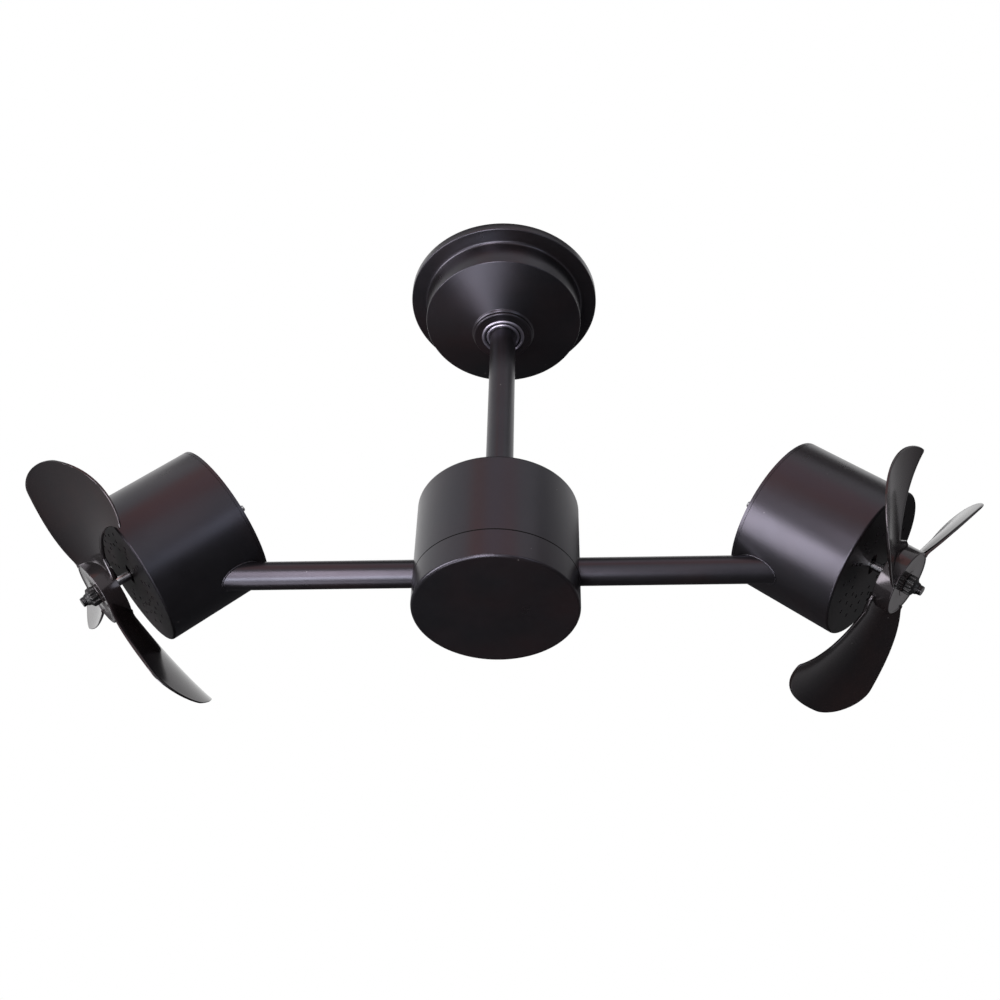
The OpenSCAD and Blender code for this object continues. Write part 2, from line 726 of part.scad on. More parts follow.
module clamp_nut(s) color(black) head(s) difference() {
  union() {
    difference() {
      bar(nut_r, hub_front, hub_front + nut_h);
      around(nut_teeth) translate([nut_r + 0.9, 0, 0]) bar(2, hub_front + 1.2, hub_front + nut_h + 1);
    }
    bar(nut_neck_r, hub_front + nut_h - e, hub_front + nut_h + nut_neck_l);
  }
  bar(shaft_r + seat_gap, hub_front - 1, hub_front + 30);
}

module left_arm() arm(-1);
module left_arm_collar() arm_collar(-1);
module left_drum() drum(-1);
module left_rear_cap() rear_cap(-1);
module left_cap_screws() cap_screws(-1);
module left_motor_bolts() motor_bolts(-1);
module left_front_bracket() front_bracket(-1);
module left_rear_bracket() rear_bracket(-1);
module left_bushings() bushings(-1);
module left_stator() stator(-1);
module left_windings() windings(-1);
module left_shaft() shaft(-1);
module left_rotor() rotor(-1);
module left_drive_pin() drive_pin(-1);
module left_propeller() propeller(-1, left_turn);
module left_clamp_nut() clamp_nut(-1);
module right_arm() arm(1);
module right_arm_collar() arm_collar(1);
module right_drum() drum(1);
module right_rear_cap() rear_cap(1);
module right_cap_screws() cap_screws(1);
module right_motor_bolts() motor_bolts(1);
module right_front_bracket() front_bracket(1);
module right_rear_bracket() rear_bracket(1);
module right_bushings() bushings(1);
module right_stator() stator(1);
module right_windings() windings(1);
module right_shaft() shaft(1);
module right_rotor() rotor(1);
module right_drive_pin() drive_pin(1);
module right_propeller() propeller(1, right_turn);
module right_clamp_nut() clamp_nut(1);

ceiling_bracket();
bracket_screws();
bearing_housing();
bearing_outer_rings();
bearing_balls();
mouth_seal();
canopy();
canopy_ring();
brush_holder();
terminal_block();
downrod();
bearing_inner_rings();
rod_sleeve();
rod_clip();
slip_ring();
housing_flange();
rod_pins();
housing_top();
housing_top_screws();
housing_cap();
hub_block_upper();
hub_block_lower();
clamp_screws();
stop_pins();
run_capacitors();
connector_block();
left_arm();
left_arm_collar();
left_drum();
left_rear_cap();
left_cap_screws();
left_motor_bolts();
left_front_bracket();
left_rear_bracket();
left_bushings();
left_stator();
left_windings();
left_shaft();
left_rotor();
left_drive_pin();
left_propeller();
left_clamp_nut();
right_arm();
right_arm_collar();
right_drum();
right_rear_cap();
right_cap_screws();
right_motor_bolts();
right_front_bracket();
right_rear_bracket();
right_bushings();
right_stator();
right_windings();
right_shaft();
right_rotor();
right_drive_pin();
right_propeller();
right_clamp_nut();
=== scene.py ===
"""Looks of the twin head ceiling fan.

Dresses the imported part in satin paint, gloss blades and bright steel, adds its small fittings,
and sets a studio stage round it.
"""

import math

import bmesh
import bpy
from bpy.props import FloatProperty, FloatVectorProperty, IntProperty, PointerProperty
from mathutils import Matrix, Vector


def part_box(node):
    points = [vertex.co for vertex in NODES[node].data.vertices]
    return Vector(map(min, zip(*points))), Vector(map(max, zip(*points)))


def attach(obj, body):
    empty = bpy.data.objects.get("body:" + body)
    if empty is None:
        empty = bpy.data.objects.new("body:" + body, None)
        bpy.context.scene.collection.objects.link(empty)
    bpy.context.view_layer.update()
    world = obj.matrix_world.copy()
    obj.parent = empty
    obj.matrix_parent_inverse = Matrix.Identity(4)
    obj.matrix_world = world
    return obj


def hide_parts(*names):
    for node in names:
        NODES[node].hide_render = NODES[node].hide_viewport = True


bl_info = {
    "name": "Twin head ceiling fan",
    "version": (1, 0, 0),
    "blender": (4, 5, 0),
    "location": "View3D > Sidebar > Fan",
    "description": "Dresses a twin head ceiling fan and sets its studio stage",
    "category": "Object",
}

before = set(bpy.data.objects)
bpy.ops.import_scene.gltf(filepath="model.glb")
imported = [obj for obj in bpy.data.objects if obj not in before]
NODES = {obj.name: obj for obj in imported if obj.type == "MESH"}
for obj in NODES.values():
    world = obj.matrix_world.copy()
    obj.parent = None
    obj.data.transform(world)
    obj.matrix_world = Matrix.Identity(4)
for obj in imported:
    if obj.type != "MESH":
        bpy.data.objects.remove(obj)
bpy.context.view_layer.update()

MM = 0.001
SIDES = ("left", "right")

# Lines and radii that the pieces are built round, as in the part
ARM_Z = -362 * MM  # the arms' axis, below the ceiling
HEAD_REACH = 316.5 * MM  # from the rod to where a head's axis crosses its arm's
HEAD_TILT = math.radians(41.6)  # how far a head looks down
HEAD_LEAN = {"left": 0.0, "right": math.radians(-3.3)}  # how far an arm is swivelled at rest
FACE_BACK = 5.7 * MM  # a drum's front face, behind that crossing
DRUM_R = 66.4 * MM
ARM_R = 12 * MM
HUB_BACK = 16.5 * MM  # a hub's two faces, in front of its drum's
HUB_FRONT = 32.5 * MM
HUB_R = 28.5 * MM
SHAFT_R = 4 * MM
BORE_R = SHAFT_R + 0.03 * MM
SEAM_RISE = 27.7 * MM  # the housing's seam, over its underside
BLADES = 3
PROP_TURN = {"left": math.radians(-0.8), "right": math.radians(65.5)}


def arm_matrix(name):
    """From a head's place beside the rod, at the arm's height, to the row frame."""
    half_turn = Matrix.Rotation(math.pi if name == "left" else 0, 4, "Z")
    lean = Matrix.Rotation(HEAD_LEAN[name], 4, "X")
    return half_turn @ Matrix.Translation((HEAD_REACH, 0, ARM_Z)) @ lean


def head_matrix(name):
    """From a drum's own axis, front face at zero and propeller side up, to the row frame."""
    tilt = Matrix.Rotation(math.pi / 2 + HEAD_TILT, 4, "Y")
    return arm_matrix(name) @ tilt @ Matrix.Translation((0, 0, -FACE_BACK))


# ------------------------------------------------------------------ sizes and colours


class FanPaintSettings(bpy.types.PropertyGroup):
    paint: FloatVectorProperty(
        name="Paint", description="Colour of the satin paint", subtype="COLOR",
        default=(0.0031, 0.003, 0.0032), min=0, max=1)
    warm: FloatVectorProperty(
        name="Warm tint", description="Red-brown that shows through the paint in broad patches",
        subtype="COLOR", default=(0.0105, 0.0042, 0.0038), min=0, max=1)
    warm_amount: FloatProperty(
        name="Warm amount", description="How much of the red-brown shows", default=0.42,
        min=0, max=1, subtype="FACTOR")
    roughness: FloatProperty(
        name="Roughness", description="Roughness of the satin paint", default=0.3,
        min=0.1, max=0.9, subtype="FACTOR")
    peel: FloatProperty(
        name="Orange peel", description="Size of the sprayed paint's ripple", default=0.9 * MM,
        min=0.2 * MM, max=4 * MM, unit="LENGTH")
    dust: FloatProperty(
        name="Dust", description="Share of the paint that holds pale specks", default=0.35,
        min=0, max=1, subtype="FACTOR")


class FanBladeSettings(bpy.types.PropertyGroup):
    colour: FloatVectorProperty(
        name="Blade colour", description="Colour of the glossy moulding", subtype="COLOR",
        default=(0.0056, 0.0048, 0.005), min=0, max=1)
    roughness: FloatProperty(
        name="Gloss roughness", description="Roughness of the glossy moulding", default=0.15,
        min=0.02, max=0.6, subtype="FACTOR")
    thickness: FloatProperty(
        name="Blade thickness", description="Thickness of a blade at its middle",
        default=2.9 * MM, min=1.5 * MM, max=3.5 * MM, unit="LENGTH")
    stations: IntProperty(
        name="Stations", description="Rows of points from a blade's root to its tip", default=54,
        min=20, max=90)
    chord: IntProperty(
        name="Chord points", description="Points across one face of a blade", default=30,
        min=12, max=50)


class FanMetalSettings(bpy.types.PropertyGroup):
    bright: FloatVectorProperty(
        name="Bright steel", description="Colour of turned steel", subtype="COLOR",
        default=(0.56, 0.56, 0.585), min=0, max=1)
    zinc: FloatVectorProperty(
        name="Zinc plate", description="Colour of zinc-plated steel", subtype="COLOR",
        default=(0.42, 0.43, 0.45), min=0, max=1)
    alloy: FloatVectorProperty(
        name="Cast alloy", description="Colour of cast alloy", subtype="COLOR",
        default=(0.5, 0.51, 0.53), min=0, max=1)
    copper: FloatVectorProperty(
        name="Copper", description="Colour of enamelled copper wire", subtype="COLOR",
        default=(0.55, 0.22, 0.08), min=0, max=1)
    thread_pitch: FloatProperty(
        name="Thread pitch", description="Pitch of the shaft's thread", default=1.1 * MM,
        min=0.6 * MM, max=2 * MM, unit="LENGTH")


class FanDetailSettings(bpy.types.PropertyGroup):
    weld: FloatProperty(
        name="Weld bead", description="Radius of the bead where an arm meets its drum",
        default=0.8 * MM, min=0.3 * MM, max=2 * MM, unit="LENGTH")
    nut_teeth: IntProperty(
        name="Nut teeth", description="Grip ribs round a clamp nut", default=10, min=6, max=16)
    corner: FloatProperty(
        name="Corner radius", description="Radius of the canopy's pressed corners",
        default=1.3 * MM, min=0.4 * MM, max=3 * MM, unit="LENGTH")


class FanStageSettings(bpy.types.PropertyGroup):
    floor_z: FloatProperty(
        name="Floor height", description="Height of the floor under the fan", default=-2.6,
        min=-4, max=-2.4, unit="LENGTH")
    floor: FloatVectorProperty(
        name="Floor colour", description="Colour of the pale floor", subtype="COLOR",
        default=(0.82, 0.82, 0.83), min=0, max=1)
    sky: FloatProperty(
        name="Room light", description="Strength of the soft light from all round", default=0.25,
        min=0, max=2)
    key: FloatProperty(
        name="Key light", description="Power of the softbox low on the left", default=50,
        min=0, max=500, unit="POWER")
    strip: FloatProperty(
        name="Strip light", description="Power of the tall strip in front", default=30,
        min=0, max=500, unit="POWER")
    low: FloatProperty(
        name="Low light", description="Power of the softbox under the fan", default=20,
        min=0, max=500, unit="POWER")
    wash: FloatProperty(
        name="Floor wash", description="Power of the softbox near the floor on the left",
        default=9, min=0, max=500, unit="POWER")
    fill: FloatProperty(
        name="Fill light", description="Power of the softbox on the right", default=9,
        min=0, max=500, unit="POWER")
    # The screen and lid glow dimly and show only in the fan's reflections: painted shade in those
    # reflections
    screen: FloatVectorProperty(
        name="Screen colour", description="Colour of the dark screen and lid round the fan",
        subtype="COLOR", default=(0.044, 0.043, 0.047), min=0, max=1)
    # Glow of the warm sheets in front, seen only in the fan's reflections: a painted warm
    # reflection on the paint
    banner: FloatVectorProperty(
        name="Banner colour", description="Colour of the warm banners in front of the fan",
        subtype="COLOR", default=(1.0, 0.58, 0.53), min=0, max=1)


# The scene's name for each group of settings
SETTINGS = {
    "fan_paint": FanPaintSettings,
    "fan_blades": FanBladeSettings,
    "fan_metal": FanMetalSettings,
    "fan_detail": FanDetailSettings,
    "fan_stage": FanStageSettings,
}


# ------------------------------------------------------------------ mesh helpers


def make_piece(name, points, faces, material, body, slot, stands_for=(), *, crease):
    """Makes a mesh piece in the row frame, smooth but for edges sharper than crease degrees."""
    mesh = bpy.data.meshes.new(name)
    mesh.from_pydata([tuple(p) for p in points], [], faces)
    bm = bmesh.new()
    bm.from_mesh(mesh)
    bmesh.ops.remove_doubles(bm, verts=bm.verts, dist=1e-7)
    bmesh.ops.recalc_face_normals(bm, faces=bm.faces)
    limit = math.radians(crease)
    for edge in bm.edges:
        edge.smooth = len(edge.link_faces) == 2 and edge.calc_face_angle(0) < limit
    for face in bm.faces:
        face.smooth = True
    bm.to_mesh(mesh)
    bm.free()
    mesh.materials.append(material)
    piece = bpy.data.objects.new(name, mesh)
    bpy.context.scene.collection.objects.link(piece)
    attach(piece, body)
    if stands_for:
        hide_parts(*stands_for)


def quads(rows, count, loop=True, ring=True):
    """Faces between rows of count points. Loop joins last row and first, ring closes each row."""
    faces = []
    for k in range(rows if loop else rows - 1):
        n = (k + 1) % rows
        for i in range(count if ring else count - 1):
            j = (i + 1) % count
            faces.append((k * count + i, n * count + i, n * count + j, k * count + j))
    return faces


def lathe(profile, steps):
    """Points and faces of a closed profile of (radius, height) turned round the axis."""
    points = []
    for k in range(steps):
        a = 2 * math.pi * k / steps
        for r, z in profile:
            points.append(Vector((r * math.cos(a), r * math.sin(a), z)))
    return points, quads(steps, len(profile))


def fillet(corners):
    """A closed profile from corners of (radius, height, corner radius), with round corners."""
    steps = 5
    out = []
    count = len(corners)
    for i, (x, y, r) in enumerate(corners):
        here = Vector((x, y))
        before = Vector(corners[i - 1][:2]) - here
        after = Vector(corners[(i + 1) % count][:2]) - here
        if r <= 0 or before.length < 1e-9 or after.length < 1e-9:
            out.append((x, y))
            continue
        before.normalize()
        after.normalize()
        half = before.angle(after) / 2
        reach = r / math.tan(half)
        centre = here + (before + after).normalized() * (r / math.sin(half))
        start = here + before * reach - centre
        end = here + after * reach - centre
        turn = start.angle_signed(end)
        for k in range(steps + 1):
            v = start.copy()
            v.rotate(Matrix.Rotation(-turn * k / steps, 2))
            out.append(tuple(centre + v))
    return out


def joined(parts):
    """Several (points, faces) as one."""
    points, faces = [], []
    for p, f in parts:
        base = len(points)
        points.extend(p)
        faces.extend(tuple(i + base for i in face) for face in f)
    return points, faces


def moved(part, matrix):
    """The (points, faces) of a part after a move."""
    return [matrix @ Vector(p) for p in part[0]], part[1]


def tube(path, radius_of, sides=10, closed=True):
    """A tube along a path of points, with its radius given for each point."""
    points = []
    count = len(path)
    for i, here in enumerate(path):
        ahead = (path[(i + 1) % count] - path[i - 1]).normalized()
        up = Vector((0, 1, 0)) if abs(ahead.y) < 0.9 else Vector((1, 0, 0))
        across = ahead.cross(up).normalized()
        other = ahead.cross(across)
        for k in range(sides):
            a = 2 * math.pi * k / sides
            points.append(here + (across * math.cos(a) + other * math.sin(a)) * radius_of(i))
    return points, quads(count, sides, loop=closed)


# ------------------------------------------------------------------ shader helpers


class Shader:
    """Builds nodes in one tree with short calls."""

    def __init__(self, tree):
        self.tree = tree
        self.nodes = tree.nodes
        self.x = -1400

    def add(self, kind, **values):
        """A new node with its settings."""
        node = self.nodes.new(kind)
        node.location = (self.x, 0)
        self.x += 60
        for key, value in values.items():
            setattr(node, key, value)
        return node

    def feed(self, node, **sockets):
        """Sets or links inputs by name, with underscores for spaces."""
        for key, value in sockets.items():
            socket = node.inputs[key.replace("_", " ")]
            if isinstance(value, bpy.types.NodeSocket):
                self.tree.links.new(value, socket)
            else:
                socket.default_value = value
        return node

    def math(self, operation, a, b=None, clamp=False):
        """The outcome of one operation on outputs or numbers."""
        node = self.add("ShaderNodeMath", operation=operation, use_clamp=clamp)
        for socket, value in zip(node.inputs, (a, b)):
            if isinstance(value, bpy.types.NodeSocket):
                self.tree.links.new(value, socket)
            elif value is not None:
                socket.default_value = value
        return node.outputs[0]

    def ramp(self, value, low, high):
        """A straight ramp from 0 at low to 1 at high."""
        node = self.add("ShaderNodeMapRange", clamp=True)
        self.feed(node, Value=value, From_Min=low, From_Max=high)
        return node.outputs[0]

    def mix(self, share, a, b):
        """A blend of two outputs or colours."""
        node = self.add("ShaderNodeMix", data_type="RGBA")
        for socket, value in ((node.inputs[0], share), (node.inputs[6], a), (node.inputs[7], b)):
            if isinstance(value, bpy.types.NodeSocket):
                self.tree.links.new(value, socket)
            else:
                socket.default_value = value if not hasattr(value, "__len__") else (*value, 1)[:4]
        return node.outputs[2]

    def seen(self):
        """A mask of what is seen straight, in a mirror or through glass."""
        path = self.add("ShaderNodeLightPath")
        direct = self.math("MAXIMUM", path.outputs["Is Camera Ray"], path.outputs["Is Glossy Ray"])
        return self.math("MAXIMUM", direct, path.outputs["Is Transmission Ray"])


def new_group(name, inputs, outputs):
    """A shader node group with the named inputs and outputs, and its builder."""
    tree = bpy.data.node_groups.new(name, "ShaderNodeTree")
    for label, kind, default in inputs:
        socket = tree.interface.new_socket(label, in_out="INPUT", socket_type=kind)
        socket.default_value = default
    for label, kind in outputs:
        tree.interface.new_socket(label, in_out="OUTPUT", socket_type=kind)
    s = Shader(tree)
    return s, s.add("NodeGroupInput"), s.add("NodeGroupOutput")


def build_tone_group():
    """Broad patches of a second colour, and pale dust specks."""
    s, given, out = new_group(
        "broad_tone",
        [("Color", "NodeSocketColor", (0.01, 0.01, 0.01, 1)),
         ("Patch Color", "NodeSocketColor", (0.03, 0.01, 0.01, 1)),
         ("Patch Amount", "NodeSocketFloat", 0.5),
         ("Patch Scale", "NodeSocketFloat", 9.0),
         ("Dust Amount", "NodeSocketFloat", 0.3)],
        [("Color", "NodeSocketColor")])
    place = s.add("ShaderNodeTexCoord").outputs["Object"]
    broad = s.add("ShaderNodeTexNoise")
    s.feed(broad, Vector=place, Scale=given.outputs["Patch Scale"], Detail=3.0, Roughness=0.55)
    patch = s.math("MULTIPLY", s.ramp(broad.outputs[0], 0.42, 0.68), given.outputs["Patch Amount"])
    fine = s.add("ShaderNodeTexNoise")
    s.feed(fine, Vector=place, Scale=170.0, Detail=4.0, Roughness=0.6)
    cloud = s.math("MULTIPLY", s.ramp(fine.outputs[0], 0.35, 0.75), 0.35)
    tinted = s.mix(patch, given.outputs["Color"], given.outputs["Patch Color"])
    uneven = s.mix(cloud, tinted, (0.0062, 0.0059, 0.0061))
    cells = s.add("ShaderNodeTexVoronoi")
    s.feed(cells, Vector=place, Scale=95.0)
    pick = s.add("ShaderNodeSeparateColor")
    s.feed(pick, Color=cells.outputs["Color"])
    rare = s.math("GREATER_THAN", pick.outputs[0], 0.9)
    near = s.math("LESS_THAN", cells.outputs["Distance"], 0.045)
    speck = s.math("MULTIPLY", s.math("MULTIPLY", rare, near), given.outputs["Dust Amount"])
    s.feed(out, Color=s.mix(speck, uneven, (0.33, 0.31, 0.3)))
    return s.tree


def build_grain_group():
    """Small ripple of a sprayed or moulded surface, and the uneven gloss that goes with it."""
    s, given, out = new_group(
        "fine_grain",
        [("Grain Size", "NodeSocketFloat", 0.9 * MM),
         ("Height", "NodeSocketFloat", 0.02 * MM),
         ("Roughness", "NodeSocketFloat", 0.4),
         ("Spread", "NodeSocketFloat", 0.06)],
        [("Normal", "NodeSocketVector"), ("Roughness", "NodeSocketFloat")])
    place = s.add("ShaderNodeTexCoord").outputs["Object"]
    scale = s.math("DIVIDE", 1.0, given.outputs["Grain Size"])
    ripple = s.add("ShaderNodeTexNoise")
    s.feed(ripple, Vector=place, Scale=scale, Detail=2.0, Roughness=0.5)
    bump = s.add("ShaderNodeBump")
    s.feed(bump, Strength=1.0, Distance=given.outputs["Height"], Height=ripple.outputs[0])
    drift = s.add("ShaderNodeTexNoise")
    s.feed(drift, Vector=place, Scale=26.0, Detail=3.0, Roughness=0.6)
    swing = s.math("SUBTRACT", drift.outputs[0], 0.5)
    roughness = s.math("MULTIPLY_ADD", swing, given.outputs["Spread"])
    s.tree.links.new(given.outputs["Roughness"], roughness.node.inputs[2])
    s.feed(out, Normal=bump.outputs[0], Roughness=roughness)
    return s.tree


def build_tool_mark_group():
    """Fine scratches left by turning, stretched along one direction."""
    s, given, out = new_group(
        "tool_marks",
        [("Stretch", "NodeSocketVector", (1.0, 1.0, 60.0)),
         ("Color", "NodeSocketColor", (0.6, 0.6, 0.6, 1)),
         ("Roughness", "NodeSocketFloat", 0.25),
         ("Depth", "NodeSocketFloat", 0.004 * MM)],
        [("Color", "NodeSocketColor"), ("Roughness", "NodeSocketFloat"),
         ("Normal", "NodeSocketVector")])
    place = s.add("ShaderNodeTexCoord").outputs["Object"]
    run = s.add("ShaderNodeVectorMath", operation="MULTIPLY")
    s.tree.links.new(place, run.inputs[0])
    s.tree.links.new(given.outputs["Stretch"], run.inputs[1])
    marks = s.add("ShaderNodeTexNoise")
    s.feed(marks, Vector=run.outputs[0], Scale=90.0, Detail=5.0, Roughness=0.65)
    dim = s.ramp(marks.outputs[0], 0.3, 0.75)
    dark = s.mix(s.math("MULTIPLY", dim, 0.35), given.outputs["Color"], (0.2, 0.2, 0.21))
    swing = s.math("MULTIPLY", s.math("SUBTRACT", marks.outputs[0], 0.5), 0.3)
    rough = s.math("ADD", swing, given.outputs["Roughness"], clamp=True)
    bump = s.add("ShaderNodeBump")
    s.feed(bump, Strength=1.0, Distance=given.outputs["Depth"], Height=marks.outputs[0])
    s.feed(out, Color=dark, Roughness=rough, Normal=bump.outputs[0])
    return s.tree


EFFECTS = {
    "broad_tone": build_tone_group,
    "fine_grain": build_grain_group,
    "tool_marks": build_tool_mark_group,
}
# What has been built so far, by name
GROUPS = {}
MATERIALS = {}


def new_material(name):
    """A material with its Principled BSDF, and its builder."""
    material = bpy.data.materials.new(name)
    material.use_nodes = True
    s = Shader(material.node_tree)
    return material, s, material.node_tree.nodes["Principled BSDF"]


def use(s, name, **values):
    """Places a shared group, built on its first use, with its own values."""
    if name not in GROUPS:
        GROUPS[name] = EFFECTS[name]()
    return s.feed(s.add("ShaderNodeGroup", node_tree=GROUPS[name]), **values)


def once(name, build, **values):
    """The material of that name, built on its first use."""
    if name not in MATERIALS:
        MATERIALS[name] = build(name, **values)
    return MATERIALS[name]


def past(s, name, start, end):
    """A mask from 0 to 1 between two heights on a head's own axis."""
    axis = head_matrix(name).to_3x3() @ Vector((0, 0, 1))
    zero = axis.dot(head_matrix(name).translation)
    along = s.add("ShaderNodeVectorMath", operation="DOT_PRODUCT")
    s.tree.links.new(s.add("ShaderNodeTexCoord").outputs["Object"], along.inputs[0])
    along.inputs[1].default_value = axis
    return s.ramp(along.outputs["Value"], zero + start, zero + end)


# Specular level of the paint, and the level and the least roughness on the drums' front plates
PAINT_LEVEL = 0.53
PLATE_LEVEL = 0.12
PLATE_ROUGHNESS = 0.5
# Heights on a head's axis where the front plate's dull paint begins and is full
PLATE_START = -1.6 * MM
PLATE_FULL = -1 * MM
# Heights on a head's axis where the shaft's blackened end begins and is full
BLACK_START = HUB_FRONT + 8 * MM
BLACK_FULL = HUB_FRONT + 8.5 * MM


def build_grained(name, colour, patch, amount, scale, dust, grain, height, roughness, spread,
                  plate_of=None, **plain):
    """A patchy, dusty and grained surface, with plain values for its shader.

    It lies dull on the punched front plate of the drum that plate_of names.
    """
    material, s, shader = new_material(name)
    tone = use(s, "broad_tone", Color=(*colour, 1), Patch_Color=(*patch, 1), Patch_Amount=amount,
               Patch_Scale=scale, Dust_Amount=dust)
    ripple = use(s, "fine_grain", Grain_Size=grain, Height=height, Roughness=roughness,
                 Spread=spread)
    s.feed(shader, Base_Color=tone.outputs["Color"], Roughness=ripple.outputs["Roughness"],
           Normal=ripple.outputs["Normal"], **plain)
    if plate_of:
        dull = past(s, plate_of, PLATE_START, PLATE_FULL)
        drop = s.math("MULTIPLY", dull, PAINT_LEVEL - PLATE_LEVEL)
        rough = s.math("MULTIPLY", dull, PLATE_ROUGHNESS)
        s.feed(shader, Specular_IOR_Level=s.math("SUBTRACT", PAINT_LEVEL, drop),
               Roughness=s.math("MAXIMUM", rough, ripple.outputs["Roughness"]))
    return material


def satin_paint(drum=None):
    """Black-brown satin paint with red-brown patches, orange peel and dust."""
    p = bpy.context.scene.fan_paint
    return once(f"{drum}_drum_paint" if drum else "satin_paint", build_grained,
                colour=p.paint, patch=p.warm, amount=p.warm_amount, scale=11.0, dust=p.dust,
                grain=p.peel, height=0.016 * MM, roughness=p.roughness, spread=0.12,
                plate_of=drum, Specular_Tint=(0.87, 0.83, 1.0, 1),
                Specular_IOR_Level=PAINT_LEVEL)


def gloss_moulding():
    """Glossy dark brown moulding of the blades and hubs."""
    b = bpy.context.scene.fan_blades
    return once("gloss_moulding", build_grained,
                colour=b.colour, patch=(0.013, 0.0068, 0.006), amount=0.5, scale=14.0, dust=0.22,
                grain=6 * MM, height=0.03 * MM, roughness=b.roughness, spread=0.08,
                Specular_Tint=(1.0, 0.93, 1.0, 1))


def black_moulding():
    """Half-gloss black of the clamp nuts, the brush holder and the capacitors."""
    return once("black_moulding", build_grained,
                colour=(0.0042, 0.0042, 0.0045), patch=(0.009, 0.0085, 0.0085), amount=0.6,
                scale=40.0, dust=0.15, grain=0.6 * MM, height=0.02 * MM, roughness=0.36,
                spread=0.15, Specular_IOR_Level=0.26)


def black_rubber():
    """Dull black rubber of the seal and of the dull black ring in the housing's seam."""
    return once("black_rubber", build_grained,
                colour=(0.003, 0.003, 0.003), patch=(0.005, 0.005, 0.005), amount=0.6,
                scale=60.0, dust=0.05, grain=0.5 * MM, height=0.03 * MM, roughness=0.8,
                spread=0.15, Specular_IOR_Level=0.06)


def cream_moulding():
    """Cream moulding of the terminal blocks."""
    return once("cream_moulding", build_grained,
                colour=(0.62, 0.56, 0.42), patch=(0.5, 0.43, 0.3), amount=0.5, scale=60.0,
                dust=0.1, grain=0.8 * MM, height=0.02 * MM, roughness=0.45, spread=0.1)


def build_metal(name, colour, roughness, stretch, depth, black_end_of=None):
    """A metal with tool marks, blackened on the shaft end of the head that black_end_of names."""
    material, s, shader = new_material(name)
    marks = use(s, "tool_marks", Stretch=stretch, Color=(*colour, 1), Roughness=roughness,
                Depth=depth)
    tone = marks.outputs["Color"]
    if black_end_of:
        black_end = past(s, black_end_of, BLACK_START, BLACK_FULL)
        tone = s.mix(black_end, tone, (0.035, 0.034, 0.036))
    s.feed(shader, Metallic=1.0, Base_Color=tone, Roughness=marks.outputs["Roughness"],
           Normal=marks.outputs["Normal"])
    return material


def bright_steel(shaft=None):
    """Turned steel with fine rings, blackened at the end of the head's shaft that is named."""
    return once(f"{shaft}_shaft_steel" if shaft else "bright_steel", build_metal,
                colour=bpy.context.scene.fan_metal.bright, roughness=0.17, stretch=(1, 1, 60),
                depth=0.004 * MM, black_end_of=shaft)


def satin_steel():
    """Ground steel of the bearings' lips."""
    return once("satin_steel", build_metal, colour=(0.3, 0.28, 0.34), roughness=0.4,
                stretch=(3, 3, 3), depth=0.0005 * MM)


def zinc_plate():
    """Zinc-plated sheet and turned parts."""
    return once("zinc_plate", build_metal, colour=bpy.context.scene.fan_metal.zinc,
                roughness=0.36, stretch=(3, 3, 3), depth=0.008 * MM)


def cast_alloy():
    """Rough cast alloy of the blocks and brackets."""
    return once("cast_alloy", build_metal, colour=bpy.context.scene.fan_metal.alloy,
                roughness=0.48, stretch=(6, 6, 6), depth=0.03 * MM)


def copper_wire():
    """Enamelled copper of the windings and rings."""
    return once("copper_wire", build_metal, colour=bpy.context.scene.fan_metal.copper,
                roughness=0.3, stretch=(22, 22, 22), depth=0.03 * MM)


def dress(material, *names):
    """Gives CAD nodes a material."""
    for name in names:
        slots = NODES[name].material_slots
        for slot in slots:
            slot.material = material
        if not slots:
            NODES[name].data.materials.append(material)


def both(*names):
    """Names of nodes that both heads have."""
    return [f"{side}_{name}" for side in SIDES for name in names]


# ------------------------------------------------------------------ forms


def ease(x):
    """A smooth step from 0 to 1."""
    u = min(max(x, 0.0), 1.0)
    return u * u * (3 - 2 * u)


# A blade on the hub's axis: angles in degrees, radii and heights in millimetres, and t from 0 at
# the root to 1 at the tip. The curves are fitted to the blades' outlines in the photograph.
TIP_ANGLE = -16.5
ROOT_R = 27.0
TIP_R = 131.5


def roundoff(t, start, power):
    """Falls from 1 at start to 0 at the tip, for the tip's round corners."""
    return 1.0 if t <= start else (1 - ((t - start) / (1 - start)) ** power) ** (1 / power)


def lead_angle(t):
    """Where the leading edge stands."""
    v = 23.4 - 38.1 * t + 12.0 * t * t
    return TIP_ANGLE + (v - TIP_ANGLE) * roundoff(t, 0.735, 1.93)


def trail_angle(t):
    """Where the trailing edge stands, with the lobe beside the hub."""
    r = ROOT_R + t * (TIP_R - ROOT_R)
    v = -40.3 + 19.4 * t - 44.0 * t * t - 25.9 * (1 - ease((r - 30.4) / 8.5))
    return TIP_ANGLE + (v - TIP_ANGLE) * roundoff(t, 0.816, 1.2)


def camber(r, angle):
    """Height of the blade's middle sheet over the drum's front face."""
    s, x = (r - ROOT_R) / 100, (angle + 18) / 10
    return (19.6 + (1.72 + 4.02 * s + 5.91 * s * s) * x + (0.273 + 1.92 * s) * x * x
            - 0.05 * (r - ROOT_R))


